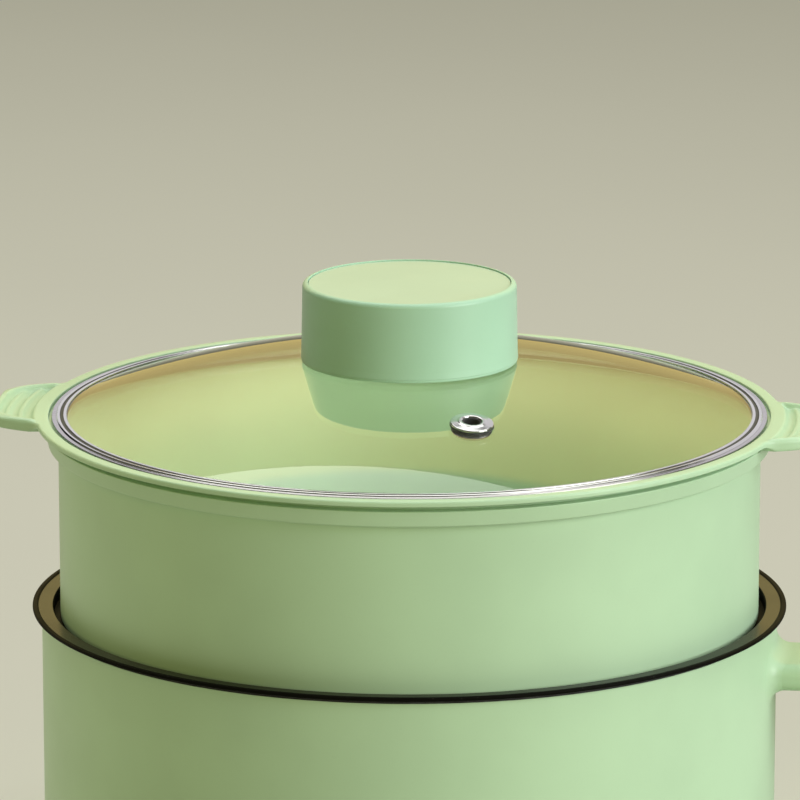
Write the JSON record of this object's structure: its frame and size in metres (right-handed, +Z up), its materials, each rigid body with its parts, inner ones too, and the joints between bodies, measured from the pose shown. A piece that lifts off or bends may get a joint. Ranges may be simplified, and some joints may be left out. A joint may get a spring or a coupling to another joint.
{
  "type": "electric hot pot with lid",
  "caption": "Round green electric hot pot with a long handle and dial, a stacking steamer basket, and a domed clear lid with a drum knob.",
  "frame": {"origin": "where the pot's vertical axis meets the table, at the middle of its four feet", "axes": "+Z up along the pot's axis, +X from the axis out along the handle, +Y to the left of the handle seen from the pot"},
  "size_m": [0.4345, 0.2756, 0.2473],
  "materials": {
    "green_plastic": "soft satin",
    "pale_green_cap": "soft satin",
    "nonstick": "satin non-stick",
    "black_plastic": "matte",
    "rubber": "matte",
    "silicone": "matte",
    "clear_glass": "clear polished",
    "stainless": "polished",
    "cast_aluminium": "as cast",
    "element_steel": "dark oxide",
    "zinc_steel": "zinc plated",
    "brass": "plain",
    "wire_cover": "matte",
    "lamp_lens": "clear orange",
    "lamp_glass": "clear"
  },
  "bodies": {
    "cooker_base": {"outer_housing": "green_plastic", "inner_pot": "nonstick", "rim_seal": "rubber", "base_cover": "black_plastic", "rubber_feet": "rubber", "base_screws": "zinc_steel", "heating_plate": "cast_aluminium", "heating_element": "element_steel", "element_terminals": "zinc_steel", "thermostat": "black_plastic", "thermostat_bracket": "zinc_steel", "bracket_screws": "zinc_steel", "thermal_fuse": "silicone", "heat_shield": "zinc_steel", "shield_studs": "zinc_steel", "shield_nuts": "zinc_steel", "power_inlet": "black_plastic", "inlet_pins": "brass", "wiring_leads": "wire_cover", "handle_upper_shell": "green_plastic", "handle_lower_shell": "green_plastic", "handle_screws": "zinc_steel", "handle_bracket": "zinc_steel", "rotary_switch": "black_plastic", "switch_nut": "zinc_steel", "dial_bezel": "stainless", "indicator_lens": "lamp_lens", "indicator_lamp": "lamp_glass"},
    "power_dial": {"dial_knob": "pale_green_cap", "dial_shaft": "zinc_steel"},
    "steamer": {"steamer_basket": "green_plastic"},
    "lid": {"lid_glass": "clear_glass", "lid_rim_band": "stainless", "vent_eyelet": "stainless", "vent_seals": "silicone", "knob_shell": "green_plastic", "knob_cap": "pale_green_cap", "knob_insert": "brass", "knob_gasket": "silicone", "lid_gasket": "silicone", "bolt_washer": "stainless", "knob_bolt": "stainless"}
  },
  "joints": [
    {"name": "power_dial_turn", "type": "hinge", "parent": "cooker_base", "child": "power_dial", "pos_m": [0.188, 0, 0.112], "axis": [0, 0, 1], "range_deg": [-120, 0]},
    {"name": "steamer_lift", "type": "slide", "parent": "cooker_base", "child": "steamer", "axis": [0, 0, 1], "range_m": [0, 0.12]},
    {"name": "lid_lift", "type": "slide", "parent": "steamer", "child": "lid", "axis": [0, 0, 1], "range_m": [0, 0.12]}
  ]
}
